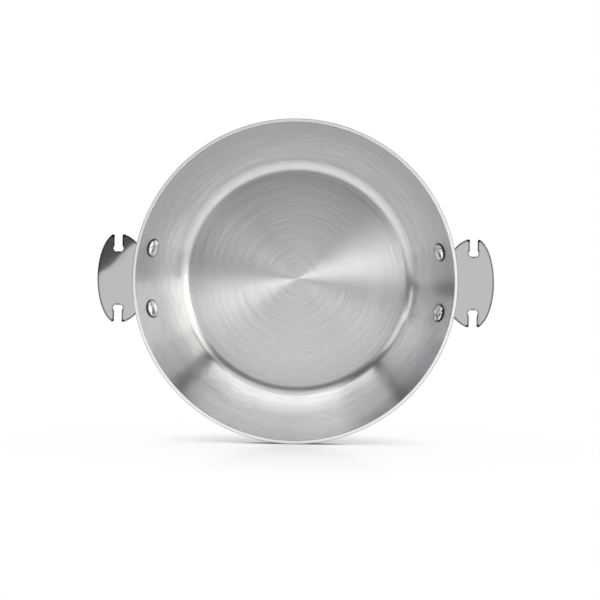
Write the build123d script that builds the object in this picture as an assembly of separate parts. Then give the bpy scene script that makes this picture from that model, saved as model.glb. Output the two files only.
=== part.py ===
"""Clad stainless steel frying pan, 24 cm, with two riveted lugs for a clip-on handle.

The pan lies on its base. The origin is the centre of the base's underside, +Z is up,
and the two lugs stand out along -X (left) and +X (right). All sizes are millimetres.
"""
from build123d import *

import os
from math import acos, asin, cos, degrees, radians, sin, sqrt

# Pan body
RIM_RADIUS = 120.0       # outside of the rim, so the pan is 240 across
HEIGHT = 45.0            # underside of the base to the top of the rim
INNER_PLY = 0.5          # stainless cooking surface
CORE_PLY = 1.8           # aluminium that spreads the heat
OUTER_PLY = 0.5          # magnetic stainless outside
FLOOR_RADIUS = 79.9      # flat part of the floor
FLOOR_ROUND = 13.5       # inside radius where the floor turns up into the wall
FOOT_SLOPE = 40.0        # degrees between the ground and the wall's foot; it steepens upwards
RIM_ROUND = 0.4          # the ground edges of the rim

# Lug: one pressed plate, riveted to the wall, with a level tab that the handle clips to
PLATE = 2.5              # thickness of the lug's plate
TAB_TOP = 34.0           # height of the tab's upper face
BEND_RADIUS = 3.0        # inside radius of the bend between flange and tab
TAB_END = 146.5          # from the pan's axis to the tab's outer edge
TAB_MIDDLE = 131.9       # from the axis to the tab's widest place, where two half ovals meet
TAB_INNER_DEPTH = 23.3   # radial half-axis of the oval on the pan's side
TAB_HALF_WIDTH = 33.3    # half-axis across of both ovals
NECK_HALF_WIDTH = 25.0   # the plate at the bend
FLANGE_HALF_WIDTH = 31.0
FLANGE_LENGTH = 15.0     # down the wall from the bend
FLANGE_CORNER = 6.5

# Keyhole notches that the handle's hooks drop into, one in each end of the tab
NOTCH_RADIUS = 131.1     # from the pan's axis to the notch's centre line
NOTCH_END = 19.9         # from the tab's middle to the blind end
NOTCH_MOUTH = 2.8        # half widths: mouth, widest place, blind end
NOTCH_WIDEST = 3.7
NOTCH_FLAT = 2.6
NOTCH_WIDEST_AT = 1.9    # from the blind end to the widest place
NOTCH_NECK_AT = 4.6      # from the blind end to where the mouth's width begins
NOTCH_ROUND = 0.5
EAR_ROUND = 1.3

# Rivets
RIVET_RADIUS_AT = 108.4  # from the pan's axis to the rivet's centre on the cooking surface
RIVET_SPACING = 45.0     # between the two rivets of a lug
SHANK_RADIUS = 3.0
HEAD_RADIUS = 6.4        # domed head inside the pan
HEAD_EDGE = 1.3
HEAD_HEIGHT = 2.6
HEAD_ROUND = 0.6
TAIL_RADIUS = 4.6        # hammered head on the lug's outside
TAIL_EDGE = 0.7
TAIL_HEIGHT = 2.2

# Drawing allowances
OVERRUN = 5.0            # how far a shape is drawn past the place where it is cut off
SPREAD = 40.0            # degrees round the pan that a lug is drawn over before it is cut
SEAT = 0.6               # how far a head is drawn past the wall before it is trimmed to it
SHANK_END = 0.4          # how far the shank runs up into each head
NEAR = 0.001             # closer than this is the same height

THICKNESS = INNER_PLY + CORE_PLY + OUTER_PLY
FOOT = radians(FOOT_SLOPE)
ROUND_CENTRE = Vector(FLOOR_RADIUS, 0, THICKNESS + FLOOR_ROUND)


def wall_arc():
    """Radius of the cooking surface's arc up the wall, and the arc's centre.

    The arc goes on from the floor's round, so both centres lie on the normal at the foot.
    The wall's outside is concentric with it and touches the rim's rounded outer edge.
    """
    normal = Vector(-sin(FOOT), 0, cos(FOOT))
    edge = Vector(RIM_RADIUS - RIM_ROUND, 0, HEIGHT - RIM_ROUND) - ROUND_CENTRE
    gap = FLOOR_ROUND + THICKNESS - RIM_ROUND
    apart = (edge.dot(edge) - gap**2) / (2 * (edge.dot(normal) + gap))
    return FLOOR_ROUND + apart, ROUND_CENTRE + normal * apart


WALL_ROUND, WALL_CENTRE = wall_arc()


def outward(slope):
    """Unit vector square to the wall, from the cooking surface outwards."""
    return Vector(sin(slope), 0, -cos(slope))


def wall_slope(z, depth=0.0):
    """Slope at height z of the wall's surface that lies depth below the cooking surface."""
    return acos((WALL_CENTRE.Z - z) / (WALL_ROUND + depth))


def wall_point(slope, depth=0.0):
    """Where the wall's surface at that depth has a given slope."""
    return WALL_CENTRE + outward(slope) * (WALL_ROUND + depth)


def wall_edge(depth, low, high):
    """Section line of the wall at one depth, between two slopes."""
    return Edge.make_three_point_arc(
        wall_point(low, depth), wall_point((low + high) / 2, depth), wall_point(high, depth)
    )


def skin(depth, top):
    """Section line at one depth below the cooking surface, from the axis to height top."""
    radius = FLOOR_ROUND + depth
    floor_end = ROUND_CENTRE - Vector(0, 0, radius)
    foot = ROUND_CENTRE + outward(FOOT) * radius
    end_slope = wall_slope(top, depth)
    edges = [
        Edge.make_line(Vector(0, 0, THICKNESS - depth), floor_end),
        Edge.make_three_point_arc(
            floor_end, ROUND_CENTRE + outward(FOOT / 2) * radius, foot
        ),
        wall_edge(depth, FOOT, end_slope),
    ]
    return edges, wall_point(end_slope, depth)


def band(near, far, top):
    """Section of the metal between two depths below the cooking surface."""
    upper, upper_end = skin(near, top)
    lower, lower_end = skin(far, top)
    axis = Edge.make_line(Vector(0, 0, THICKNESS - near), Vector(0, 0, THICKNESS - far))
    return Face(Wire(upper + lower + [Edge.make_line(upper_end, lower_end), axis]))


def whole_section():
    """Section of all three plies together, with the rim's two edges ground round."""
    section = band(0, THICKNESS, HEIGHT)
    corners = [v for v in section.vertices() if abs(v.Z - HEIGHT) < NEAR]
    return section.fillet_2d(RIM_ROUND, corners)


def ply(near, far):
    """One sheet of the clad metal, cut off at the rim."""
    section = band(near, far, HEIGHT + OVERRUN) & whole_section()
    return revolve(section, Axis.Z, 360)


def rivet_places(side):
    """The two rivets of the lug on one side (-1 left, +1 right), as local frames."""
    slope = asin((RIVET_RADIUS_AT - WALL_CENTRE.X) / WALL_ROUND)
    half_angle = degrees(asin(RIVET_SPACING / 2 / RIVET_RADIUS_AT))
    middle = 0 if side > 0 else 180
    for turn in (half_angle, -half_angle):
        angle = radians(middle + turn * side)
        out = Vector(cos(angle), sin(angle), 0)
        yield Plane(
            origin=out * RIVET_RADIUS_AT + Vector(0, 0, wall_point(slope).Z),
            x_dir=Vector(-sin(angle), cos(angle), 0),
            z_dir=out * -sin(slope) + Vector(0, 0, cos(slope)),
        )


def drill(solid):
    """Take the four rivet holes out of a sheet."""
    reach = THICKNESS + PLATE + 2 * SEAT
    for side in (-1, 1):
        for place in rivet_places(side):
            bit = Pos(0, 0, SEAT - reach / 2) * Cylinder(SHANK_RADIUS, reach)
            solid -= place.location * bit
    return solid


def bend_slope():
    """Slope of the wall's outside where the plate leaves it, at the bottom of the bend."""
    bend = BEND_RADIUS + PLATE
    outside = WALL_ROUND + THICKNESS
    z = (TAB_TOP - bend + bend * WALL_CENTRE.Z / outside) / (1 + bend / outside)
    return wall_slope(z, THICKNESS)


def flange_section():
    """Section of the lug's flange, which lies on the wall's outside."""
    top = bend_slope()
    low = top - FLANGE_LENGTH / (WALL_ROUND + THICKNESS)
    near, far = THICKNESS, THICKNESS + PLATE
    ends = [Edge.make_line(wall_point(s, near), wall_point(s, far)) for s in (low, top)]
    return Face(Wire([wall_edge(near, low, top), wall_edge(far, low, top)] + ends))


def tab_section():
    """Section of the bend and the level tab, drawn a little past the tab's end."""
    slope = bend_slope()
    outer_bend = BEND_RADIUS + PLATE
    centre = wall_point(slope, THICKNESS + outer_bend)

    def on_bend(radius, angle):
        return centre - outward(angle) * radius

    def bend_edge(radius):
        return Edge.make_three_point_arc(
            on_bend(radius, slope), on_bend(radius, slope / 2), on_bend(radius, 0)
        )

    over = Vector(TAB_END + OVERRUN, 0, TAB_TOP)
    under = over - Vector(0, 0, PLATE)
    edges = [
        bend_edge(outer_bend),
        Edge.make_line(on_bend(outer_bend, 0), over),
        Edge.make_line(over, under),
        Edge.make_line(under, on_bend(BEND_RADIUS, 0)),
        bend_edge(BEND_RADIUS),
        Edge.make_line(on_bend(BEND_RADIUS, slope), on_bend(outer_bend, slope)),
    ]
    return Face(Wire(edges))


def notch():
    """Plan of one keyhole notch, open towards +Y."""
    beyond = TAB_HALF_WIDTH + OVERRUN
    right_side = [
        (NOTCH_FLAT, NOTCH_END),
        (NOTCH_WIDEST, NOTCH_END + NOTCH_WIDEST_AT),
        (NOTCH_MOUTH, NOTCH_END + NOTCH_NECK_AT),
        (NOTCH_MOUTH, beyond),
    ]
    left_side = [(-x, y) for x, y in reversed(right_side)]
    shape = make_face(Polyline(*right_side, *left_side, close=True))
    rounded = [v for v in shape.vertices() if v.Y < beyond - NEAR]
    return Pos(NOTCH_RADIUS, 0) * fillet(rounded, NOTCH_ROUND)


def half_oval(depth, side):
    """The outer (+1) or the inner (-1) half of an oval round the tab's middle."""
    half = Pos(side * depth / 2, 0) * Rectangle(depth, 2 * TAB_HALF_WIDTH)
    return Pos(TAB_MIDDLE, 0) * (Ellipse(depth, TAB_HALF_WIDTH) & half)


def tab_plan():
    """Plan of the tab: two half ovals, a neck at the bend and a notch in each end."""
    ovals = half_oval(TAB_END - TAB_MIDDLE, 1) + half_oval(TAB_INNER_DEPTH, -1)
    neck_start = wall_point(bend_slope(), THICKNESS).X - PLATE
    neck = Pos((neck_start + TAB_MIDDLE) / 2, 0) * Rectangle(
        TAB_MIDDLE - neck_start, 2 * NECK_HALF_WIDTH
    )
    plan = ovals + neck - notch() - mirror(notch(), about=Plane.XZ)
    # Only the corners at the notches' mouths lie further out than the neck
    ears = [v for v in plan.vertices() if abs(v.Y) > NECK_HALF_WIDTH + NEAR]
    return fillet(ears, EAR_ROUND)


def lug():
    """The right-hand lug, before its rivet holes."""
    turn_back = Rot(0, 0, -SPREAD / 2)
    tab = turn_back * revolve(tab_section(), Axis.Z, SPREAD)
    tab &= extrude(tab_plan(), HEIGHT)
    flange = turn_back * revolve(flange_section(), Axis.Z, SPREAD)
    middle = bend_slope() - FLANGE_LENGTH / 2 / (WALL_ROUND + THICKNESS)
    face_out = Plane(
        origin=wall_point(middle, THICKNESS), x_dir=Vector(0, 1, 0), z_dir=outward(middle)
    )
    # The wall curves away from this flat outline, so it is drawn right through the plate
    outline = RectangleRounded(2 * FLANGE_HALF_WIDTH, 2 * FLANGE_LENGTH, FLANGE_CORNER)
    flange &= extrude(face_out * Pos(0, FLANGE_LENGTH / 2) * outline, 2 * OVERRUN, both=True)
    return tab + flange


def button(radius, edge, height):
    """Half section of a low button, SEAT below its ground line, with a ball-shaped top."""
    rise = height - edge
    ball = (radius**2 + rise**2) / (2 * rise)
    halfway = height - ball + sqrt(ball**2 - radius**2 / 4)
    return make_face(
        [
            Line((0, -SEAT), (radius, -SEAT)),
            Line((radius, -SEAT), (radius, edge)),
            ThreePointArc((radius, edge), (radius / 2, halfway), (0, height)),
            Line((0, height), (0, -SEAT)),
        ]
    )


def rivet(place, wall, plate):
    """One rivet: domed head inside, shank, and the tail hammered over outside."""
    grip = THICKNESS + PLATE
    profile = button(HEAD_RADIUS, HEAD_EDGE, HEAD_HEIGHT)
    brow = [v for v in profile.vertices() if v.X > HEAD_RADIUS / 2 and v.Y > 0]
    head = revolve(Plane.XZ * fillet(brow, HEAD_ROUND), Axis.Z, 360)
    tail = revolve(Plane.XZ * button(TAIL_RADIUS, TAIL_EDGE, TAIL_HEIGHT), Axis.Z, 360)
    tail = Pos(0, 0, -grip) * Rot(180, 0, 0) * tail
    # Both ends are trimmed to the curved metal they bear on, and the shank joins them
    inside = place.location * head - wall
    outside = place.location * tail - plate
    shank = Pos(0, 0, -grip / 2) * Cylinder(SHANK_RADIUS, grip + 2 * SHANK_END)
    return inside + place.location * shank + outside


def main():
    os.makedirs("parts", exist_ok=True)
    depths = {
        "inner_steel_ply": (0, INNER_PLY),
        "aluminium_core": (INNER_PLY, INNER_PLY + CORE_PLY),
        "outer_steel_ply": (INNER_PLY + CORE_PLY, THICKNESS),
    }
    pieces = {name: drill(ply(near, far)) for name, (near, far) in depths.items()}
    wall = revolve(whole_section(), Axis.Z, 360)
    plates = {"left": (-1, Rot(0, 0, 180) * lug()), "right": (1, lug())}
    for side_name, (side, plate) in plates.items():
        pieces[f"{side_name}_handle_lug"] = drill(plate)
        for place in rivet_places(side):
            end_name = "rear" if place.origin.Y > 0 else "front"
            pieces[f"{side_name}_{end_name}_rivet"] = rivet(place, wall, plate)
    for name, solid in pieces.items():
        export_step(solid, f"parts/{name}.step")


main()
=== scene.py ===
"""Looks of a clad stainless steel frying pan with two notched lugs for a clip-on handle."""
from math import acos, asin, atan, atan2, cos, pi, radians, sin, sqrt, tan

import bmesh
import bpy
from bpy.props import (FloatProperty, FloatVectorProperty, IntProperty, PointerProperty,
                       StringProperty)
from mathutils import Matrix, Vector


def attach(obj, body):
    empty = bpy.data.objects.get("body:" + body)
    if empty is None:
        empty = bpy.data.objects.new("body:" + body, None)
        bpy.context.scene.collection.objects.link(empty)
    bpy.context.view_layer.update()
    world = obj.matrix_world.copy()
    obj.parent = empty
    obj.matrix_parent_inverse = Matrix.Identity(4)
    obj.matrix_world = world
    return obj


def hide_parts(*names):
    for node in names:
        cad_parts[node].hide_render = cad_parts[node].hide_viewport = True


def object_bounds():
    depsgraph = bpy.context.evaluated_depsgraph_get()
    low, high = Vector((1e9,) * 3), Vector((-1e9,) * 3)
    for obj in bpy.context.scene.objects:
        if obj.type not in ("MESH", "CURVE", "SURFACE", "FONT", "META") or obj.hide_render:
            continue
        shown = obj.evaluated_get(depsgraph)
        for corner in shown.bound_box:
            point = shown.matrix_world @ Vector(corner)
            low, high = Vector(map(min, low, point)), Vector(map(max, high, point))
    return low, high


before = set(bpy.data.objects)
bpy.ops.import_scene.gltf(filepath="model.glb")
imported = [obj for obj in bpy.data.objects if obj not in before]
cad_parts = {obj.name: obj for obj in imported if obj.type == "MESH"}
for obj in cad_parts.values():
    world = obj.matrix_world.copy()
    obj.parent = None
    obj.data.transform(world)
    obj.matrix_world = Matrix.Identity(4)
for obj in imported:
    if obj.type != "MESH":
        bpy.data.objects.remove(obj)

bl_info = {
    "name": "Stainless Frying Pan",
    "version": (1, 0, 0),
    "blender": (4, 5, 0),
    "location": "3D View > Sidebar > Frying Pan",
    "description": "Builds a clad stainless frying pan with riveted lugs, and its studio",
    "category": "Add Mesh",
}

MM = 0.001
BODY = "root"
CAD_LOW, CAD_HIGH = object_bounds()
# The bonded sheets from the inside out: piece, node and slot
SHEETS = (("cooking_surface", "inner_steel_ply", "brushed_stainless"),
          ("aluminium_core_sheet", "aluminium_core", "aluminium_core"),
          ("outer_shell", "outer_steel_ply", "satin_stainless"))


def length(description, default):
    """A size in metres, shown with its unit."""
    return FloatProperty(description=description, default=default, unit="LENGTH", min=0.0,
                         precision=5)


def mm(description, size):
    """A size, written in millimetres and kept in metres."""
    return length(description, size * MM)


def angle(description, degrees):
    """An angle, written in degrees and kept in radians."""
    return FloatProperty(description=description, default=radians(degrees), unit="ROTATION")


def number(description, default):
    """A number without a unit."""
    return FloatProperty(description=description, default=default)


def colour(description, default):
    """A colour as an sRGB hex text."""
    return StringProperty(description=description, default=default)


class PanBodySizes(bpy.types.PropertyGroup):
    """Sizes of the clad body."""
    rim_radius: length("Outside of the rim", CAD_HIGH.y)
    height: length("Underside of the base to the top of the rim", CAD_HIGH.z)
    floor_radius: mm("Flat part of the floor", 79.9)
    floor_round: mm("Inside radius between floor and wall", 13.5)
    foot_slope: angle("Between the ground and the wall's foot", 40)
    inner_ply: mm("Stainless cooking surface", 0.5)
    core_ply: mm("Aluminium between the two steels", 1.8)
    outer_ply: mm("Magnetic stainless outside", 0.5)
    rim_round: mm("Radius of the rim's two ground edges", 0.4)
    steps_around: IntProperty(description="Faces round the pan", default=360, min=24)

    @property
    def thickness(self):
        return self.inner_ply + self.core_ply + self.outer_ply


class LugSizes(bpy.types.PropertyGroup):
    """Sizes of the pressed lugs. A lug's tab is two half ovals with a neck at the bend."""
    plate: mm("Thickness of the plate", 2.5)
    tab_top: mm("Height of the tab's upper face", 34)
    bend_radius: mm("Inside radius of the bend", 3)
    tab_end: length("From the pan's axis to the tab's outer edge", CAD_HIGH.x)
    middle: mm("From the pan's axis to the tab's widest place", 131.9)
    inner_depth: mm("Radial half-axis on the pan's side", 23.3)
    half_width: mm("Half-axis across of both half ovals", 33.3)
    neck: mm("Half width of the plate at the bend", 25)
    flange_half_width: mm("Half width on the wall", 31)
    flange_length: mm("Down the wall from the bend", 15)
    flange_corner: mm("Radius of the flange's lower corners", 6.5)
    notch_at: mm("From the pan's axis to the notches' centre line", 131.1)
    notch_end: mm("From the tab's middle to a blind end", 19.9)
    notch_mouth: mm("Half width of a notch at its mouth", 2.8)
    notch_widest: mm("Half width of the keyhole", 3.7)
    notch_flat: mm("Half width of the blind end", 2.6)
    widest_from_end: mm("Blind end to the widest place", 1.9)
    neck_from_end: mm("Blind end to the mouth's width", 4.6)
    notch_round: mm("Radius of the notch's corners", 0.5)
    ear_round: mm("Radius of the ears at the mouth", 1.3)
    edge_round: mm("Radius of the polished edges", 0.45)


class RivetSizes(bpy.types.PropertyGroup):
    """Sizes and places of the four rivets."""
    place_radius: mm("From the axis to a rivet, on the wall", 108.4)
    spacing: mm("Between the two rivets of a lug", 45)
    head_radius: mm("Domed head inside the pan", 6.4)
    head_edge: mm("Height of the head's edge", 1.3)
    head_height: mm("Height of the head's middle", 2.6)
    head_round: mm("Radius of the head's edge", 0.6)
    shank_radius: mm("Shank through plies and lug", 3)
    tail_radius: mm("Hammered head outside", 4.6)
    tail_edge: mm("Height of the tail's edge", 0.7)
    tail_height: mm("Height of the tail's middle", 2.2)


class PanFinishes(bpy.types.PropertyGroup):
    """Colours of the finishes, as sRGB hex."""
    brushed_steel: colour("Lathe-brushed cooking surface", "#CACACC")
    satin_steel: colour("Satin outside", "#BEBEBD")
    polished_steel: colour("Mirror-polished lugs", "#C8C8C9")
    rivet_steel: colour("Polished rivet heads", "#D2D2D6")
    core_aluminium: colour("Ground edge of the core", "#DCDCE0")
    paper: colour("White floor", "#F2F2F2")


def linear(hex_text):
    """An sRGB hex colour as the linear RGBA that shaders take."""
    def channel(code):
        value = int(code, 16) / 255
        return value / 12.92 if value <= 0.04045 else ((value + 0.055) / 1.055) ** 2.4
    return tuple(channel(hex_text[i:i + 2]) for i in (1, 3, 5)) + (1.0,)


def add(tree, kind, inputs=None, **settings):
    """Add a node. inputs maps a socket's name or number to a value or another node's output."""
    made = tree.nodes.new(kind)
    for name, value in settings.items():
        setattr(made, name, value)
    for key, value in (inputs or {}).items():
        feed(tree, made, key, value)
    return made


def out(tree, kind, inputs=None, **settings):
    """Add a node and take its first output."""
    return add(tree, kind, inputs, **settings).outputs[0]


def feed(tree, node, key, value):
    """Give one input of a node a value or another node's output."""
    if isinstance(value, bpy.types.NodeSocket):
        tree.links.new(value, node.inputs[key])
    else:
        node.inputs[key].default_value = value


def calc(tree, operation, *inputs):
    """Result of an operation on numbers."""
    return out(tree, "ShaderNodeMath", dict(enumerate(inputs)), operation=operation)


def count(tree, operation, *inputs):
    """Result of an operation on whole numbers."""
    return out(tree, "FunctionNodeIntegerMath", dict(enumerate(inputs)), operation=operation)


def vector(tree, operation, *inputs):
    """Result of an operation on vectors. SCALE takes a vector and a number."""
    keys = (0, "Scale") if operation == "SCALE" else (0, 1)
    made = add(tree, "ShaderNodeVectorMath", dict(zip(keys, inputs)), operation=operation)
    return made.outputs["Value" if operation in ("LENGTH", "DISTANCE") else "Vector"]


def remap(tree, value, start, stop, low, high):
    """low where the value is start or under, high where it is stop or over."""
    return out(tree, "ShaderNodeMapRange", {"Value": value, "From Min": start,
                                            "From Max": stop, "To Min": low, "To Max": high})


def new_material(name):
    """A material with an empty tree."""
    material = bpy.data.materials.new(name)
    material.use_nodes = True
    material.node_tree.nodes.clear()
    return material, material.node_tree


def link(name, data):
    """Put data in the scene as an object."""
    made = bpy.data.objects.new(name, data)
    bpy.context.scene.collection.objects.link(made)
    return made


# Finishes

# Reach of the painted shade where two pieces meet, and of the painted dark edges of lugs and
# rivets
CREVICE_SHADE = 1.4 * MM
PLATE_EDGE_SHADE = 2.3 * MM
RIVET_EDGE_SHADE = 1.3 * MM
# Depths below the rim at which the painted shade along its ground corner starts and is darkest
RIM_SHADE = (1.2 * MM, 0.5 * MM)
# Depth of full relief, for brush lines and for waves in the buffed plate
LINE_DEPTH = 0.1 * MM
WAVE_DEPTH = 0.2 * MM


def new_finish(name, hex_text, brushed=0.0):
    """A bare metal: its material, tree, Principled shader and Object coordinates."""
    material, tree = new_material(name)
    shader = add(tree, "ShaderNodeBsdfPrincipled", {"Base Color": linear(hex_text),
                                                    "Metallic": 1.0, "Anisotropic": brushed})
    add(tree, "ShaderNodeOutputMaterial", {"Surface": shader.outputs["BSDF"]})
    place = add(tree, "ShaderNodeTexCoord").outputs["Object"]
    # Brush lines run round the pan, so streaks of light run away from its axis
    if brushed:
        feed(tree, shader, "Tangent", vector(tree, "NORMALIZE", from_axis(tree, place)))
    return material, tree, shader, place


def from_axis(tree, place):
    """The level line from the pan's axis to a place."""
    return vector(tree, "MULTIPLY", place, (1, 1, 0))


def height_of(tree, place):
    """A place's height above the pan's underside."""
    return add(tree, "ShaderNodeSeparateXYZ", {0: place}).outputs["Z"]


def ring_lines(tree, place, spacing, arcs, seed):
    """Lines about the pan's axis that break off arcs times in a radian: 0 to 1."""
    flat = from_axis(tree, place)
    breaks = vector(tree, "SCALE", vector(tree, "NORMALIZE", flat), arcs)
    turns = add(tree, "ShaderNodeSeparateXYZ", {0: breaks}).outputs
    # Along a meridian the lines follow radius on the floor and height on the wall
    run = calc(tree, "ADD", vector(tree, "LENGTH", flat), height_of(tree, place))
    point = out(tree, "ShaderNodeCombineXYZ",
                {0: turns["X"], 1: turns["Y"], 2: calc(tree, "MULTIPLY", run, 1 / spacing)})
    return out(tree, "ShaderNodeTexNoise",
               {"Vector": point, "W": seed, "Scale": 1.0, "Detail": 1.0, "Roughness": 0.6},
               noise_dimensions="4D")


def clouds(tree, place, size, detail):
    """Uneven spots of a size: 0 to 1."""
    return out(tree, "ShaderNodeTexNoise", {"Vector": place, "Scale": 1 / size,
                                            "Detail": detail})


def spread(tree, noise, low, high):
    """A noise, which seldom leaves its middle half, moved to the range low to high."""
    return remap(tree, noise, 0.25, 0.75, low, high)


def tone_along(tree, distance, stops):
    """A tone that changes evenly from stop to stop. Stops are a distance in mm and a tone."""
    brightest = max(tone for _, tone in stops)
    farthest = stops[-1][0]
    ramp = add(tree, "ShaderNodeValToRGB", {0: calc(tree, "DIVIDE", distance, farthest * MM)})
    points = ramp.color_ramp.elements
    while len(points) < len(stops):
        points.new(0.5)
    for point, (place, tone) in zip(points, stops):
        point.position = place / farthest
        point.color = (tone / brightest,) * 3 + (1.0,)
    return calc(tree, "MULTIPLY", ramp.outputs[0], brightest)


def painted_crevice_shade(tree):
    """Tone of the thin dark line where two pieces meet: painted shade in the corner."""
    corner = add(tree, "ShaderNodeAmbientOcclusion", {"Distance": CREVICE_SHADE}, samples=8)
    return remap(tree, corner.outputs["AO"], 0.6, 0.95, 0.02, 1.0)


def painted_edge_shade(tree, reach):
    """Tone of a piece's outer edge: a painted dark reflection, darker than the polished faces.
    """
    near = add(tree, "ShaderNodeAmbientOcclusion", {"Distance": reach}, samples=8, inside=True)
    return remap(tree, near.outputs["AO"], 0.66, 0.85, 0.0, 1.0)


def painted_rim_shade(tree, place, rim_height, tone):
    """Tone of the ground corner along the rim: painted shade, darker than the sheet below it."""
    start, full = (rim_height - below for below in RIM_SHADE)
    return remap(tree, height_of(tree, place), start, full, 1.0, tone)


def shade(tree, shader, *tones):
    """Multiply a metal's colour by tones."""
    tone = tones[0]
    for other in tones[1:]:
        tone = calc(tree, "MULTIPLY", tone, other)
    plain = shader.inputs["Base Color"].default_value[:3]
    feed(tree, shader, "Base Color", vector(tree, "SCALE", plain, tone))


def emboss(tree, shader, height, strength, depth):
    """Let a 0 to 1 height catch the light as relief."""
    bump = out(tree, "ShaderNodeBump", {"Height": height, "Strength": strength,
                                        "Distance": depth})
    feed(tree, shader, "Normal", bump)


def brushed_stainless(finishes, rim_height):
    """18/10 stainless, brushed on the lathe: rings that throw the light out in fans."""
    material, tree, shader, place = new_finish("lathe-brushed 18-10 stainless",
                                               finishes.brushed_steel, brushed=0.9)
    # The finest real lines are about 0.1 mm apart. These are the coarser ones that show:
    # long ones all over, and short streaks that are strongest on the wall
    lines = ring_lines(tree, place, 0.8 * MM, 1.0, 3.0)
    streaks = ring_lines(tree, place, 0.8 * MM, 9.0, 5.0)
    radius = vector(tree, "LENGTH", from_axis(tree, place))
    # Painted light and shade along the radius: lightest at the middle, darkest at the wall's
    # foot, light again on the wall and darker towards the rim. Radius in mm and tone
    painted_light_and_shade = tone_along(tree, radius,
                      ((0, 1.29), (60, 1.09), (78, 0.91), (82, 0.93), (87, 0.71), (92, 1.0),
                       (98, 1.09), (105, 0.92), (112, 0.78)))
    on_wall = remap(tree, radius, 78 * MM, 90 * MM, 0.35, 1.0)
    grain = calc(tree, "MULTIPLY_ADD", spread(tree, streaks, -0.12, 0.12), on_wall,
                 spread(tree, lines, 0.945, 1.055))
    # The colour carries painted light and shade along the radius, painted shade round the rivet
    # heads and along the rim, and the brush lines
    shade(tree, shader, painted_light_and_shade, grain, painted_crevice_shade(tree), painted_rim_shade(tree, place, rim_height, 0.8))
    emboss(tree, shader, lines, 0.01, LINE_DEPTH)
    feed(tree, shader, "Roughness", spread(tree, lines, 0.21, 0.24))
    return material


def satin_stainless(finishes, rim_height):
    """18/0 stainless outside, satin from a fine sanding band: soft rings, no mirror."""
    material, tree, shader, place = new_finish("satin 18-0 stainless", finishes.satin_steel,
                                               brushed=0.7)
    lines = ring_lines(tree, place, 0.9 * MM, 3.0, 7.0)
    # Painted shade on the round at the underside's edge. Radius in mm and tone
    painted_round_shade = tone_along(tree, vector(tree, "LENGTH", from_axis(tree, place)),
                      ((0, 1.05), (77, 1.02), (80, 0.72), (86, 0.8), (95, 0.95), (115, 1.0)))
    # The colour carries painted shade on the round and along the rim, and the sanding lines
    shade(tree, shader, painted_round_shade, spread(tree, lines, 0.9, 1.1),
          painted_rim_shade(tree, place, rim_height, 0.4))
    emboss(tree, shader, lines, 0.04, LINE_DEPTH)
    feed(tree, shader, "Roughness", spread(tree, lines, 0.28, 0.36))
    return material


def ground_aluminium(finishes):
    """Aluminium core, cut and ground at the rim: a dull bright line between the steels."""
    material, tree, shader, place = new_finish("ground aluminium edge",
                                               finishes.core_aluminium, brushed=0.5)
    lines = ring_lines(tree, place, 0.4 * MM, 9.0, 11.0)
    feed(tree, shader, "Roughness", spread(tree, lines, 0.42, 0.52))
    return material


def polished_stainless(finishes):
    """Stainless plate, buffed to a mirror: clear reflections with faint buffing haze."""
    material, tree, shader, place = new_finish("mirror-polished stainless plate",
                                               finishes.polished_steel)
    haze = clouds(tree, place, 9 * MM, 4.0)
    feed(tree, shader, "Roughness", spread(tree, haze, 0.01, 0.03))
    emboss(tree, shader, clouds(tree, place, 16 * MM, 0.0), 0.03, WAVE_DEPTH)
    # A painted dark reflection along the plate's edges
    shade(tree, shader, painted_edge_shade(tree, PLATE_EDGE_SHADE))
    return material


def rivet_stainless(finishes):
    """Solid stainless rivet, polished with the pan: small sharp reflections."""
    material, tree, shader, place = new_finish("polished stainless rivet",
                                               finishes.rivet_steel)
    haze = clouds(tree, place, 3 * MM, 3.0)
    feed(tree, shader, "Roughness", spread(tree, haze, 0.03, 0.07))
    # Painted shade round the head's foot, and a painted dark reflection along the head's edge
    shade(tree, shader, painted_crevice_shade(tree), painted_edge_shade(tree, RIVET_EDGE_SHADE))
    return material


# Shared shapes

# Points closer than this are one point
WELD = 0.001 * MM
TURNING_VALUES = (("Steps Around", "Int"), ("Crease Angle", "Float"), ("Finish", "Material"))


def new_tree(name, values):
    """A Geometry Nodes tree that takes a half section and named values."""
    tree = bpy.data.node_groups.new(name, "GeometryNodeTree")
    for item, kind in (("Section", "Geometry"), *values):
        tree.interface.new_socket(item, in_out="INPUT", socket_type="NodeSocket" + kind)
    tree.interface.new_socket("Geometry", in_out="OUTPUT", socket_type="NodeSocketGeometry")
    return tree, add(tree, "NodeGroupInput").outputs


def end_tree(tree, geometry, finish):
    """Give out the geometry as a plain mesh in its finish."""
    real = out(tree, "GeometryNodeRealizeInstances", {"Geometry": geometry})
    dressed = out(tree, "GeometryNodeSetMaterial", {"Geometry": real, "Material": finish})
    add(tree, "NodeGroupOutput", {"Geometry": dressed})


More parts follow.
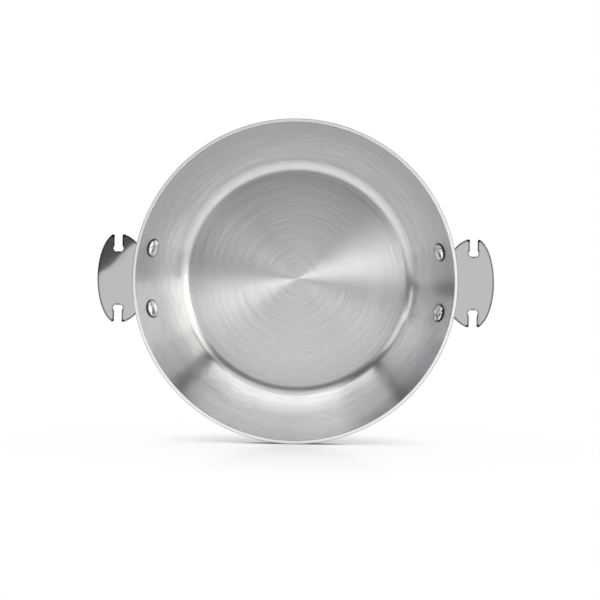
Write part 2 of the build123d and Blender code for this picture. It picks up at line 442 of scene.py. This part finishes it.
def turning_tree():
    """Nodes that turn a half section about the Z axis, as a lathe would."""
    tree, given = new_tree("Turned Section", TURNING_VALUES)
    section, steps = given["Section"], given["Steps Around"]
    along = out(tree, "GeometryNodeAttributeDomainSize", {"Geometry": section})
    grid = out(tree, "GeometryNodeMeshGrid",
               {"Vertices X": count(tree, "ADD", steps, 1), "Vertices Y": along})
    index = out(tree, "GeometryNodeInputIndex")
    row = count(tree, "MODULO", index, along)
    # The last column falls exactly on the first, so the seam welds
    column = count(tree, "MODULO", count(tree, "DIVIDE_FLOOR", index, along), steps)
    turn = calc(tree, "MULTIPLY", calc(tree, "DIVIDE", column, steps), 2 * pi)
    position = out(tree, "GeometryNodeInputPosition")
    sample = out(tree, "GeometryNodeSampleIndex",
                 {"Geometry": section, "Value": position, "Index": row},
                 data_type="FLOAT_VECTOR", domain="POINT")
    turned = out(tree, "ShaderNodeVectorRotate", {"Vector": sample, "Angle": turn},
                 rotation_type="Z_AXIS")
    placed = out(tree, "GeometryNodeSetPosition", {"Geometry": grid, "Position": turned})
    welded = out(tree, "GeometryNodeMergeByDistance", {"Geometry": placed, "Distance": WELD})
    smooth = out(tree, "GeometryNodeSetShadeSmooth", {"Geometry": welded})
    bend = out(tree, "GeometryNodeInputMeshEdgeAngle")
    sharp = out(tree, "FunctionNodeCompare", {0: bend, 1: given["Crease Angle"]},
                operation="GREATER_THAN")
    creased = out(tree, "GeometryNodeSetShadeSmooth",
                  {"Geometry": smooth, "Selection": sharp, "Shade Smooth": False},
                  domain="EDGE")
    end_tree(tree, creased, given["Finish"])
    return tree


def rivet_tree(turning):
    """Nodes that turn one rivet and set four of them square on the wall, two to a lug."""
    places = ("Place Radius", "Place Height", "Spacing", "Wall Slope")
    tree, given = new_tree("Rivets On Wall",
                           (*TURNING_VALUES, *((name, "Float") for name in places)))
    rivet = add(tree, "GeometryNodeGroup", node_tree=turning)
    for name in ("Section", "Steps Around", "Crease Angle", "Finish"):
        feed(tree, rivet, name, given[name])
    index = out(tree, "GeometryNodeInputIndex")
    # Rivets 0 and 1 are on the left-hand lug. 0 and 2 are on their lug's -Y side
    side = calc(tree, "MULTIPLY_ADD", count(tree, "DIVIDE_FLOOR", index, 2), 2.0, -1.0)
    end = calc(tree, "SUBTRACT", count(tree, "MODULO", index, 2), 0.5)
    y = calc(tree, "MULTIPLY", end, given["Spacing"])
    swing = calc(tree, "ARCSINE", calc(tree, "DIVIDE", y, given["Place Radius"]))
    reach = calc(tree, "MULTIPLY", calc(tree, "COSINE", swing), given["Place Radius"])
    x = calc(tree, "MULTIPLY", reach, side)
    place = out(tree, "ShaderNodeCombineXYZ", {0: x, 1: y, 2: given["Place Height"]})
    points = out(tree, "GeometryNodePoints", {"Count": 4, "Position": place})
    # A rivet stands square to the wall: inwards by the slope's sine, upwards by its cosine
    inward = vector(tree, "NORMALIZE", vector(tree, "MULTIPLY", place, (-1, -1, 0)))
    lean = vector(tree, "SCALE", inward, calc(tree, "SINE", given["Wall Slope"]))
    up = out(tree, "ShaderNodeCombineXYZ", {2: calc(tree, "COSINE", given["Wall Slope"])})
    aim = out(tree, "FunctionNodeAlignRotationToVector",
              {"Vector": vector(tree, "ADD", lean, up)}, axis="Z")
    stood = out(tree, "GeometryNodeInstanceOnPoints",
                {"Points": points, "Instance": rivet.outputs[0], "Rotation": aim})
    end_tree(tree, stood, given["Finish"])
    return tree


def grow(name, section, tree, values):
    """Run a Geometry Nodes tree on a half section and keep the result as a plain mesh."""
    wire = bpy.data.meshes.new(name + "_section")
    wire.from_pydata([(r, 0.0, z) for r, z in section], [], [])
    source = link(name + "_section", wire)
    modifier = source.modifiers.new("shape", "NODES")
    modifier.node_group = tree
    for item in tree.interface.items_tree:
        if item.name in values:
            modifier[item.identifier] = values[item.name]
    bpy.context.view_layer.update()
    graph = bpy.context.evaluated_depsgraph_get()
    mesh = bpy.data.meshes.new_from_object(source.evaluated_get(graph))
    mesh.name = name
    bpy.data.objects.remove(source)
    return show(name, mesh)


def show(name, mesh):
    """Put a mesh in the scene as a piece that rides on the pan."""
    piece = link(name, mesh)
    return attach(piece, BODY)


def evenly(start, stop, steps):
    """Numbers from start to stop, both included, in even steps."""
    return [start + (stop - start) * i / steps for i in range(steps + 1)]


def arc(centre, radius, start, stop, steps):
    """Points on an arc in a section or plan, angles from the first axis."""
    return [(centre[0] + radius * cos(a), centre[1] + radius * sin(a))
            for a in evenly(start, stop, steps)]


def between(start, stop, steps):
    """Points strictly between two points of a section."""
    return list(zip(*(evenly(a, b, steps) for a, b in zip(start, stop))))[1:-1]


def rounded(points, radii, steps):
    """A closed outline with each corner rounded by its own radius, 0 for none."""
    made = []
    for i, corner in enumerate(points):
        here = Vector(corner)
        to_last = (Vector(points[i - 1]) - here).normalized()
        to_next = (Vector(points[(i + 1) % len(points)]) - here).normalized()
        if radii[i] == 0:
            made.append(corner)
            continue
        half = to_last.angle(to_next) / 2
        back = radii[i] / tan(half)
        middle = here + (to_last + to_next).normalized() * radii[i] / sin(half)
        first, last = here + to_last * back - middle, here + to_next * back - middle
        start = atan2(first.y, first.x)
        made += arc(middle, radii[i], start, start - first.angle_signed(last), steps)
    return made


# The clad body

# Steps along a section: over the floor, the round, the wall and one ground edge of the rim
FLOOR_STEPS, ROUND_STEPS, WALL_STEPS, RIM_STEPS = 24, 14, 20, 8
# An edge that bends more stays sharp
BODY_CREASE = radians(32)


def wall_arc(pan):
    """Radius and centre of the wall's arc on the inside, which goes on from the round."""
    centre = Vector((pan.floor_radius, pan.thickness + pan.floor_round))
    normal = Vector((-sin(pan.foot_slope), cos(pan.foot_slope)))
    edge = Vector((pan.rim_radius - pan.rim_round, pan.height - pan.rim_round)) - centre
    gap = pan.floor_round + pan.thickness - pan.rim_round
    apart = (edge.dot(edge) - gap ** 2) / (2 * (edge.dot(normal) + gap))
    return pan.floor_round + apart, centre + normal * apart


def wall_point(pan, slope, depth):
    """Where the surface that lies depth below the cooking surface has a given slope."""
    radius, centre = wall_arc(pan)
    return (centre.x + (radius + depth) * sin(slope), centre.y - (radius + depth) * cos(slope))


def wall_slope(pan, z, depth):
    """Slope at height z of the surface that lies depth below the cooking surface."""
    radius, centre = wall_arc(pan)
    return acos((centre.y - z) / (radius + depth))


def skin(pan, depth, top):
    """Section line at one depth: from the axis over floor, round and wall to height top."""
    centre = (pan.floor_radius, pan.thickness + pan.floor_round)
    level = pan.thickness - depth
    bend = arc(centre, pan.floor_round + depth, -pi / 2, pan.foot_slope - pi / 2,
               ROUND_STEPS)
    radius, centre = wall_arc(pan)
    end = wall_slope(pan, top, depth)
    wall = arc(centre, radius + depth, pan.foot_slope - pi / 2, end - pi / 2, WALL_STEPS)
    return [(0.0, level)] + between((0, level), bend[0], FLOOR_STEPS) + bend + wall[1:]


def rim_outline(pan):
    """Points over the rim from the inner wall to the outer one, edges ground round."""
    level = pan.height - pan.rim_round
    made = []
    # From square to the inner wall, over the top, to square to the outer wall
    for depth, inner in ((pan.rim_round, True), (pan.thickness - pan.rim_round, False)):
        slope = wall_slope(pan, level, depth)
        ends = (slope + pi / 2, pi / 2) if inner else (pi / 2, slope - pi / 2)
        made += arc(wall_point(pan, slope, depth), pan.rim_round, *ends, RIM_STEPS)
    return made


def depth_at(pan, point):
    """How far a point of the wall's section lies below the cooking surface."""
    radius, centre = wall_arc(pan)
    return (Vector(point) - centre).length - radius


def rim_point(pan, depth):
    """The point of the rim's outline at one depth."""
    outline = rim_outline(pan)
    depths = [depth_at(pan, p) for p in outline]
    for (p, a), (q, b) in zip(zip(outline, depths), zip(outline[1:], depths[1:])):
        if a <= depth <= b:
            share = (depth - a) / (b - a)
            return tuple(u + (v - u) * share for u, v in zip(p, q))
    return outline[0] if depth < depths[0] else outline[-1]


def ply_section(pan, near, far):
    """Closed half section of one sheet, from the axis out to the rim and back."""
    upper = skin(pan, near, rim_point(pan, near)[1])
    lower = skin(pan, far, rim_point(pan, far)[1])
    # The sheet's own two points on the rim are in upper and lower
    margin = 0.01 * MM
    over = [p for p in rim_outline(pan) if near + margin < depth_at(pan, p) < far - margin]
    return upper + over + lower[::-1]


class PAN_OT_body(bpy.types.Operator):
    """Build the three bonded sheets of the body: cooking surface, core and outside"""
    bl_idname = "pan.body"
    bl_label = "Clad Body"

    def execute(self, context):
        pan, finishes = context.scene.pan_body, context.scene.pan_finishes
        tree = bpy.data.node_groups.get("Turned Section") or turning_tree()
        plies = ((pan.inner_ply, brushed_stainless(finishes, pan.height)),
                 (pan.core_ply, ground_aluminium(finishes)),
                 (pan.outer_ply, satin_stainless(finishes, pan.height)))
        depth = 0.0
        for (name, node, slot), (thickness, material) in zip(SHEETS, plies):
            section = ply_section(pan, depth, depth + thickness)
            piece = grow(name, section, tree, {
                "Steps Around": pan.steps_around, "Crease Angle": BODY_CREASE,
                "Finish": material})
            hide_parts(node)
            depth += thickness
        return {"FINISHED"}


# The lugs

# Steps along the blank's outline: the tab's oval, an ear, a notch's corner, a flange's corner
OVAL_STEPS, EAR_STEPS, NOTCH_STEPS, CORNER_STEPS = 56, 6, 4, 8
# Steps over the plate's rounded edge, and strips across half the flange
PLATE_STEPS, STRIPS = 5, 12
# Width of the strips along the bend, where the plate curves most
BEND_STRIP = 0.75 * MM
# How far outside the bend the strips reach, and where the level tab starts
PAST_BEND = 0.2 * MM
LEVEL_CUT = 0.3 * MM
# Chamfer between the bend and the flange's side
SHOULDER = 1.5 * MM
# The oval stops this far before an ear
EAR_GAP = 0.3 * MM


def x_at(radius, y):
    """X of a place on the lug's side, radius from the pan's axis."""
    return sqrt(radius ** 2 - y ** 2)


def bend_place(pan, lug):
    """The slope at which the plate leaves the wall, and the bend's centre in the section."""
    bend = lug.bend_radius + lug.plate
    radius, centre = wall_arc(pan)
    outside = radius + pan.thickness
    z = (lug.tab_top - bend + bend * centre.y / outside) / (1 + bend / outside)
    slope = wall_slope(pan, z, pan.thickness)
    return slope, wall_point(pan, slope, pan.thickness + bend)


def notch_points(lug):
    """Plan of the notch at the +Y end, from its outer mouth round to its inner mouth."""
    far = 2 * lug.half_width
    corners = [(lug.notch_mouth, far), (lug.notch_mouth, lug.notch_end + lug.neck_from_end),
               (lug.notch_widest, lug.notch_end + lug.widest_from_end),
               (lug.notch_flat, lug.notch_end)]
    corners += [(-x, y) for x, y in reversed(corners)]
    radii = [0] + [lug.notch_round] * 6 + [0]
    made = rounded(corners, radii, NOTCH_STEPS)[1:-1]
    return [(lug.notch_at + x, y) for x, y in made]


def ear(lug, side):
    """The rounded tip between the oval and the notch's outer (+1) or inner (-1) side."""
    depth = lug.tab_end - lug.middle if side > 0 else lug.inner_depth
    x = lug.notch_at + side * (lug.notch_mouth + lug.ear_round)
    out = x - lug.middle
    inset = 1 - (out / (depth - lug.ear_round)) ** 2
    middle = (x, (lug.half_width - lug.ear_round) * sqrt(inset))
    # The oval is close to level here, so the tip turns a quarter and a little more
    slope = atan(lug.half_width / depth * out / sqrt(depth ** 2 - out ** 2))
    start = pi / 2 - slope
    points = arc(middle, lug.ear_round, start, pi if side > 0 else 0, EAR_STEPS)
    return points if side > 0 else points[::-1]


def tab_half(pan, lug):
    """Plan of the tab's +Y half, from its outer edge to the neck at the bend."""
    outer, inner = ear(lug, 1), ear(lug, -1)
    neck_turn = pi - asin(lug.neck / lug.half_width)
    depths = (lug.tab_end - lug.middle, lug.inner_depth)
    oval = [(lug.middle + depths[t > pi / 2] * cos(t), lug.half_width * sin(t))
            for t in evenly(0, neck_turn, OVAL_STEPS)]
    before = [p for p in oval if p[0] > outer[0][0] + EAR_GAP]
    after = [p for p in oval if p[0] < inner[-1][0] - EAR_GAP]
    return before + outer + notch_points(lug) + inner + after


def blank_outline(pan, lug):
    """The lug's flat blank: plan of the tab, and beyond the bend line distance down the wall."""
    slope, (bend_x, _) = bend_place(pan, lug)
    shoulder = (lug.bend_radius + lug.plate / 2) * slope
    tip = shoulder + lug.flange_length
    wide, r = lug.flange_half_width, lug.flange_corner

    def down(distance, y):
        return (x_at(bend_x, y) - distance, y)

    flange = [down(shoulder, lug.neck), down(shoulder, wide - SHOULDER),
              down(shoulder + SHOULDER, wide)]
    flange += [down(tip - r + r * sin(t), wide - r + r * cos(t))
               for t in evenly(0, pi / 2, CORNER_STEPS)]
    flange += [down(tip, y) for y in evenly(wide - r, 0, STRIPS)[1:]]
    half = tab_half(pan, lug) + flange
    lower = [(x, -y) for x, y in reversed(half) if y > WELD]
    return half + lower


def inset(outline, amount):
    """An anticlockwise outline moved inwards by a small amount, sharp corners by less."""
    made = []
    bluntest = 0.4
    for i, corner in enumerate(outline):
        here = Vector(corner)
        sides = (here - Vector(outline[i - 1]), Vector(outline[(i + 1) % len(outline)]) - here)
        inwards = [Vector((-side.y, side.x)).normalized() for side in sides]
        middle = (inwards[0] + inwards[1]).normalized()
        made.append(tuple(here + middle * amount / max(bluntest, middle.dot(inwards[0]))))
    return made


def plate_blank(outline, thickness, edge):
    """A flat plate with rounded edges. The edges of its two faces are marked sharp."""
    shape = bmesh.new()
    half = thickness / 2
    levels = [(edge * (1 - sin(t)), half - edge * (1 - cos(t)))
              for t in evenly(0, pi / 2, PLATE_STEPS)]
    levels += [(step_in, -z) for step_in, z in reversed(levels)]
    rings = [[shape.verts.new((x, y, z)) for x, y in inset(outline, step_in)]
             for step_in, z in levels]
    top = shape.faces.new(rings[0])
    bottom = shape.faces.new(rings[-1][::-1])
    for upper, lower in zip(rings, rings[1:]):
        for i in range(len(upper)):
            shape.faces.new((upper[i - 1], lower[i - 1], lower[i], upper[i]))
    for face in shape.faces:
        face.smooth = True
    for cap in (top, bottom):
        for line in cap.edges:
            line.smooth = False
    return shape


def fold(pan, lug, point):
    """Where a point of the flat blank lies once the plate is bent to the wall."""
    x, y, n = point
    slope, (bend_x, bend_z) = bend_place(pan, lug)
    middle = lug.bend_radius + lug.plate / 2
    bend_line = x_at(bend_x, y)
    if x >= bend_line:
        return x, y, bend_z + middle + n
    down = bend_line - x
    if down <= middle * slope:
        swing = down / middle
        radius, z = bend_x - (middle + n) * sin(swing), bend_z + (middle + n) * cos(swing)
        return x_at(radius, y), y, z
    outside = wall_arc(pan)[0] + pan.thickness
    half_way = slope - lug.flange_length / 2 / outside
    # The flange is cut straight and then pressed to the cone, so its ends ride up a little
    sagitta = (bend_x - bend_line) * cos(half_way)
    along = (down - middle * slope) * (1 - sagitta / lug.flange_length)
    radius, z = wall_point(pan, slope - along / outside, pan.thickness + lug.plate / 2 - n)
    return x_at(radius, y), y, z


def lug_mesh(pan, lug, side, material):
    """One lug: the blank is cut into strips where it bends, then folded."""
    shape = plate_blank(blank_outline(pan, lug), lug.plate, lug.edge_round)
    _, (bend_x, _) = bend_place(pan, lug)
    reach = lug.flange_half_width
    for y in evenly(-reach, reach, 2 * STRIPS):
        cut(shape, (0, y, 0), (0, 1, 0), bend_x + PAST_BEND)
    # This cut keeps the bend's shading off the level tab
    cut(shape, (bend_x + LEVEL_CUT, 0, 0), (1, 0, 0), bend_x + LEVEL_CUT)
    # The bend takes up less than 6 mm of the blank
    low = x_at(bend_x, reach) - lug.flange_length - 6 * MM
    for x in evenly(bend_x, low, int((bend_x - low) / BEND_STRIP)):
        cut(shape, (x, 0, 0), (1, 0, 0), bend_x + PAST_BEND)
    caps = [f for f in shape.faces if abs(f.normal.z) > 0.999 and len(f.verts) > 4]
    bmesh.ops.triangulate(shape, faces=caps)
    for vertex in shape.verts:
        x, y, z = fold(pan, lug, vertex.co)
        vertex.co = (side * x, side * y, z)
    mesh = bpy.data.meshes.new("lug")
    shape.to_mesh(mesh)
    shape.free()
    mesh.materials.append(material)
    return mesh


def cut(shape, place, normal, limit):
    """Cut the blank's faces along a plane, on the pan's side of a limit in X."""
    near = [f for f in shape.faces if min(v.co.x for v in f.verts) < limit]
    around = {e for f in near for e in f.edges} | {v for f in near for v in f.verts}
    bmesh.ops.bisect_plane(shape, geom=near + list(around), plane_co=place, plane_no=normal,
                           dist=0.1 * WELD)


class PAN_OT_lugs(bpy.types.Operator):
    """Build the two pressed lugs with their keyhole notches"""
    bl_idname = "pan.lugs"
    bl_label = "Handle Lugs"

    def execute(self, context):
        scene = context.scene
        material = polished_stainless(scene.pan_finishes)
        for name, side in (("left_lug", -1), ("right_lug", 1)):
            piece = show(name, lug_mesh(scene.pan_body, scene.pan_lugs, side, material))
            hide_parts(name.replace("lug", "handle_lug"))
        return {"FINISHED"}


# The rivets

# Faces round a rivet, steps over its head, its tail and a head's rounded edge
RIVET_FACES, HEAD_STEPS, TAIL_STEPS, BUTTON_EDGE_STEPS = 64, 10, 8, 6
RIVET_CREASE = radians(40)
# The heads reach this far into the metal, so no gap shows under them
SEAT = 0.3 * MM


def button(rivets, radius, edge, height, steps):
    """Half section of a button head with a ball-shaped top, from its middle to the shank."""
    rise = height - edge
    ball = (radius ** 2 + rise ** 2) / (2 * rise)
    dome = [(ball * sin(t), height - ball * (1 - cos(t)))
            for t in evenly(0, asin(radius / ball), steps)]
    corner = (radius - rivets.head_round, edge - rivets.head_round)
    dome = [p for p in dome if p[0] < corner[0]]
    dome += arc(corner, rivets.head_round, pi / 2 - asin(radius / ball), 0, BUTTON_EDGE_STEPS)
    return dome + [(radius, -SEAT), (rivets.shank_radius, -SEAT)]


def rivet_section(pan, lug, rivets):
    """Closed half section of a rivet: head, shank through the metal, tail."""
    grip = pan.thickness + lug.plate
    head = button(rivets, rivets.head_radius, rivets.head_edge, rivets.head_height,
                  HEAD_STEPS)
    tail = button(rivets, rivets.tail_radius, rivets.tail_edge, rivets.tail_height,
                  TAIL_STEPS)
    return head + [(r, -grip - z) for r, z in reversed(tail)]


class PAN_OT_rivets(bpy.types.Operator):
    """Build the four rivets and set them square on the wall"""
    bl_idname = "pan.rivets"
    bl_label = "Rivets"

    def execute(self, context):
        scene = context.scene
        pan, lug, rivets = scene.pan_body, scene.pan_lugs, scene.pan_rivets
        turning = bpy.data.node_groups.get("Turned Section") or turning_tree()
        radius, centre = wall_arc(pan)
        slope = asin((rivets.place_radius - centre.x) / radius)
        piece = grow("rivets", rivet_section(pan, lug, rivets), rivet_tree(turning), {
            "Steps Around": RIVET_FACES, "Crease Angle": RIVET_CREASE,
            "Finish": rivet_stainless(scene.pan_finishes),
            "Place Radius": rivets.place_radius, "Place Height": wall_point(pan, slope, 0)[1],
            "Spacing": rivets.spacing, "Wall Slope": slope})
        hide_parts("left_rear_rivet", "left_front_rivet", "right_rear_rivet",
                    "right_front_rivet")
        return {"FINISHED"}


# The studio

# Reach of the wedge's darkness, and how far from the rim's foot the shadow and the mirror
# image stay full
WEDGE = 10 * MM
FULL_SHADOW = 10 * MM
FULL_SHEEN = 20 * MM
# The paper stays this far off the rim
PAPER_GAP = 0.1 * MM
# The dark room has no wall below this share of its radius
ROOM_BACK = -0.13


class StudioSizes(bpy.types.PropertyGroup):
    """The photograph's camera, lamps and paper. The picture's up is the pan's +Y."""
    distance: length("Camera above the rim", 4)
    side_tilt: angle("Camera to the right of the pan's axis", 2.085)
    rear_tilt: angle("Camera to the rear of the pan's axis", 3.052)
    roll: angle("Turn of the picture", 0.77)
    aim: FloatVectorProperty(description="Point at the middle of the picture", subtype="XYZ",
                             default=(3.9 * MM, -13.54 * MM, 45 * MM), unit="LENGTH")
    lens: number("Focal length in millimetres on a 36 mm sensor", 326.8)
    lamp_distance: length("From the pan to the softboxes", 3)
    room_radius: length("From the pan to the dim walls", 4.6)
    room_glow: number("Brightness of the dim walls", 0.12)
    fill: number("White surroundings' light on the paper", 0.3)
    paper_side: length("Paper's half width, and its reach behind the pan", 2.5)
    paper_front: length("Paper's reach towards the camera", 1.2)
    shadow_reach: mm("From the rim's foot to plain white paper", 110)
    sheen: number("Share of the coating's mirror image", 0.3)
    sheen_reach: mm("From the rim's foot to the image's end", 260)


def add_camera(studio, rim_height):
    """The photograph's view: a long lens close to the pan's axis."""
    data = bpy.data.cameras.new("photo_camera")
    data.sensor_width = 36
    data.lens = studio.lens
    data.clip_end = 20
    place = Vector((studio.distance * tan(studio.side_tilt),
                    studio.distance * tan(studio.rear_tilt), rim_height + studio.distance))
    back = (place - Vector(studio.aim)).normalized()
    right = Vector((0, 1, 0)).cross(back).normalized()
    up = back.cross(right)
    turn = Matrix.Rotation(studio.roll, 3, back)
    axes = [turn @ right, turn @ up, back]
    camera = link("photo_camera", data)
    camera.matrix_world = Matrix.Translation(place) @ Matrix(axes).transposed().to_4x4()
    bpy.context.scene.camera = camera


# The softboxes round the pan, as the picture's frame sees them: azimuths from +X and tilts
# from straight above, in degrees, brightness, where the white background is 1, and colour
SOFTBOXES = {
    "overhead_low": ((60, 115), (75, 95), 1.65, "#FFFFFB"),
    "overhead_right": ((45, 95), (60, 75), 2.85, "#FFFFFB"),
    "overhead_left": ((95, 135), (60, 75), 3.1, "#FFFFFB"),
    "overhead_high": ((48, 118), (30, 60), 1.25, "#FFFFFF"),
    "right_low": ((-5, 25), (75, 95), 1.25, "#FFFFF8"),
    "right_side": ((-5, 38), (60, 75), 2.6, "#FFFFF8"),
    "right_high": ((-5, 25), (30, 60), 1.85, "#FFFFF8"),
    "right_corner": ((25, 40), (30, 45), 2.8, "#FFFFF8"),
    "right_front": ((-10, 30), (18, 30), 2, "#FFFFF8"),
    "right_camera": ((-15, 15), (8, 18), 5.4, "#FFFFF8"),
    "left_low": ((145, 170), (75, 95), 0.6, "#FAFFFF"),
    "left_side": ((140, 165), (60, 75), 1.4, "#FAFFFF"),
    "left_middle": ((165, 180), (45, 60), 2.5, "#FFFFF8"),
    "left_high": ((150, 170), (30, 45), 1.8, "#FFFFFF"),
    "left_front": ((145, 175), (18, 30), 1.3, "#FFFFFF"),
    "left_camera": ((145, 175), (8, 18), 0.3, "#FFFFFF"),
}

# Lit cards: middle and size in metres, turns about X and Z in degrees, brightness. Two hang
# beside the camera, where the level lugs mirror them. Two lie on the paper before the pan
CARDS = {
    "left_lug_card": ((-0.319, -0.181, 3.0), (0.16, 0.099), (0, 42), 0.75),
    "right_lug_card": ((0.1205, -0.16, 3.0), (0.1, 0.17), (0, 0), 0.75),
    "near_paper_card": ((0.0, -0.1195, 0.325), (0.8, 0.55), (90, 0), 0.42),
    "far_paper_card": ((0.0, -0.1195, 0.9), (1.8, 0.6), (90, 0), 0.35),
}


def area_lamp(name, size, brightness, colour):
    """A rectangular lamp. Brightness is what a mirror shows, where plain white is 1."""
    lamp = bpy.data.lights.new(name, "AREA")
    lamp.shape = "RECTANGLE"
    lamp.size, lamp.size_y = size
    lamp.energy = brightness * pi * size[0] * size[1]
    lamp.color = colour
    return link(name, lamp)


def add_softbox(name, azimuths, tilts, brightness, hex_text, distance):
    """A softbox that faces the pan and spans two azimuths and two tilts, in degrees."""
    azimuth, tilt = (radians(sum(span) / 2) for span in (azimuths, tilts))
    wide, high = (radians(span[1] - span[0]) for span in (azimuths, tilts))
    away = Vector((sin(tilt) * cos(azimuth), sin(tilt) * sin(azimuth), cos(tilt)))
    size = (2 * distance * sin(tilt) * tan(wide / 2), 2 * distance * tan(high / 2))
    softbox = area_lamp(name, size, brightness, linear(hex_text)[:3])
    softbox.location = away * distance
    softbox.rotation_euler = away.to_track_quat("Z", "Y").to_euler()


def add_card(name, middle, size, turns, brightness):
    """A lit card that only lights and reflects: the camera doesn't see it."""
    card = area_lamp(name, size, brightness, (1, 1, 1))
    card.location = middle
    card.rotation_euler = (radians(turns[0]), 0, radians(turns[1]))
    card.visible_camera = False


def reflected(tree, path):
    """1 for the rays that reflections and glass send out, else 0."""
    return calc(tree, "MAXIMUM", path["Is Glossy Ray"], path["Is Transmission Ray"])


def white_world(fill):
    """White all round for the camera and for reflections, soft light for the paper."""
    world = bpy.data.worlds.new("white studio")
    world.use_nodes = True
    world.cycles.sampling_method = "NONE"
    tree = world.node_tree
    tree.nodes.clear()
    path = add(tree, "ShaderNodeLightPath").outputs
    seen = calc(tree, "MAXIMUM", path["Is Camera Ray"], reflected(tree, path))
    light = out(tree, "ShaderNodeBackground",
                {"Color": (1, 1, 1, 1), "Strength": remap(tree, seen, 0.0, 1.0, fill, 1.0)})
    add(tree, "ShaderNodeOutputWorld", {"Surface": light})
    bpy.context.scene.world = world


def mix(tree, share, first, second):
    """The first shader where share is 0, the second where it is 1."""
    return out(tree, "ShaderNodeMixShader", {0: share, 1: first, 2: second})


def floor_paper(studio, hex_text, contact):
    """White seamless paper: it keeps the pan's soft shadow and mirrors as plain white."""
    material, tree = new_material("white seamless paper")
    # Sampled as a lamp, it would answer with the value for no kind of ray
    material.cycles.emission_sampling = "NONE"
    path = add(tree, "ShaderNodeLightPath").outputs
    # Hardly any light gets into the wedge between the paper and the pan's wall
    wedge = add(tree, "ShaderNodeAmbientOcclusion", {"Distance": WEDGE}, samples=16)
    tone = vector(tree, "SCALE", linear(hex_text)[:3],
                  remap(tree, wedge.outputs["AO"], 0.3, 0.9, 0.15, 1.0))
    matt = out(tree, "ShaderNodeBsdfDiffuse", {"Color": tone})
    white = out(tree, "ShaderNodeEmission", {"Strength": 1.0})
    # The shadow fades into plain white away from where the rim touches the paper
    place = add(tree, "ShaderNodeTexCoord").outputs["Object"]
    away = vector(tree, "DISTANCE", place, contact)
    fade = remap(tree, away, FULL_SHADOW, studio.shadow_reach, 0.0, 1.0)
    # The coating mirrors the pan's rim, blurred and fainter further off
    sheen = out(tree, "ShaderNodeBsdfGlossy", {"Color": tone, "Roughness": 0.15})
    faint = remap(tree, away, FULL_SHEEN, studio.sheen_reach, studio.sheen, 0.0)
    seen = mix(tree, faint, mix(tree, fade, matt, white), sheen)
    lit = mix(tree, path["Is Camera Ray"], matt, seen)
    front = mix(tree, reflected(tree, path), lit, white)
    # Seen from below, the paper doesn't hide the pan
    clear = out(tree, "ShaderNodeBsdfTransparent")
    behind = add(tree, "ShaderNodeNewGeometry").outputs["Backfacing"]
    add(tree, "ShaderNodeOutputMaterial", {"Surface": mix(tree, behind, front, clear)})
    return material


def add_floor(studio, pan, hex_text):
    """The paper that the pan stands on, on the side of its rim."""
    level = -pan.rim_radius - PAPER_GAP
    side, front = studio.paper_side, studio.paper_front
    mesh = bpy.data.meshes.new("floor")
    mesh.from_pydata([(side, level, -side), (-side, level, -side), (-side, level, front),
                      (side, level, front)], [], [(0, 1, 2, 3)])
    mesh.materials.append(floor_paper(studio, hex_text, (0, level, pan.height)))
    floor = link("floor", mesh)


def add_dark_room(radius, brightness):
    """A dim room round the camera and the lamps, which only reflections see."""
    shape = bmesh.new()
    bmesh.ops.create_uvsphere(shape, u_segments=48, v_segments=24, radius=radius)
    behind = [v for v in shape.verts if v.co.z < ROOM_BACK * radius]
    bmesh.ops.delete(shape, geom=behind, context="VERTS")
    mesh = bpy.data.meshes.new("dark_room")
    shape.to_mesh(mesh)
    shape.free()
    material, tree = new_material("dim studio wall")
    material.cycles.emission_sampling = "NONE"
    glow = out(tree, "ShaderNodeEmission", {"Strength": brightness})
    add(tree, "ShaderNodeOutputMaterial", {"Surface": glow})
    mesh.materials.append(material)
    room = link("dark_room", mesh)
    room.visible_camera = room.visible_diffuse = room.visible_shadow = False


class PAN_OT_studio(bpy.types.Operator):
    """Set up the camera, lamps, floor and white surroundings of the photograph"""
    bl_idname = "pan.studio"
    bl_label = "Studio"

    def execute(self, context):
        scene = context.scene
        studio, pan = scene.pan_studio, scene.pan_body
        add_camera(studio, pan.height)
        white_world(studio.fill)
        for name, settings in SOFTBOXES.items():
            add_softbox(name, *settings, studio.lamp_distance)
        for name, settings in CARDS.items():
            add_card(name, *settings)
        add_floor(studio, pan, scene.pan_finishes.paper)
        add_dark_room(studio.room_radius, studio.room_glow)
        scene.view_settings.view_transform = "Standard"
        return {"FINISHED"}


class PAN_PT_builder(bpy.types.Panel):
    """Lists the pan's parts, in the order they are built"""
    bl_idname = "PAN_PT_builder"
    bl_label = "Frying Pan"
    bl_space_type = "VIEW_3D"
    bl_region_type = "UI"
    bl_category = "Frying Pan"

    def draw(self, context):
        for operator in OPERATORS:
            self.layout.operator(operator.bl_idname)


OPERATORS = (PAN_OT_body, PAN_OT_lugs, PAN_OT_rivets, PAN_OT_studio)
GROUPS = {"pan_body": PanBodySizes, "pan_lugs": LugSizes, "pan_rivets": RivetSizes,
          "pan_finishes": PanFinishes, "pan_studio": StudioSizes}


def register():
    # A property's label is its own name: rim_radius is shown as Rim Radius
    for group in GROUPS.values():
        for name, made in group.__annotations__.items():
            made.keywords["name"] = name.replace("_", " ").title()
    for item in (*GROUPS.values(), *OPERATORS, PAN_PT_builder):
        bpy.utils.register_class(item)
    for name, group in GROUPS.items():
        setattr(bpy.types.Scene, name, PointerProperty(type=group))


def unregister():
    for name in GROUPS:
        delattr(bpy.types.Scene, name)
    for item in (PAN_PT_builder, *reversed(OPERATORS), *GROUPS.values()):
        bpy.utils.unregister_class(item)


def main():
    register()
    for call in (bpy.ops.pan.body, bpy.ops.pan.lugs, bpy.ops.pan.rivets, bpy.ops.pan.studio):
        call()


if __name__ == "__main__":
    main()
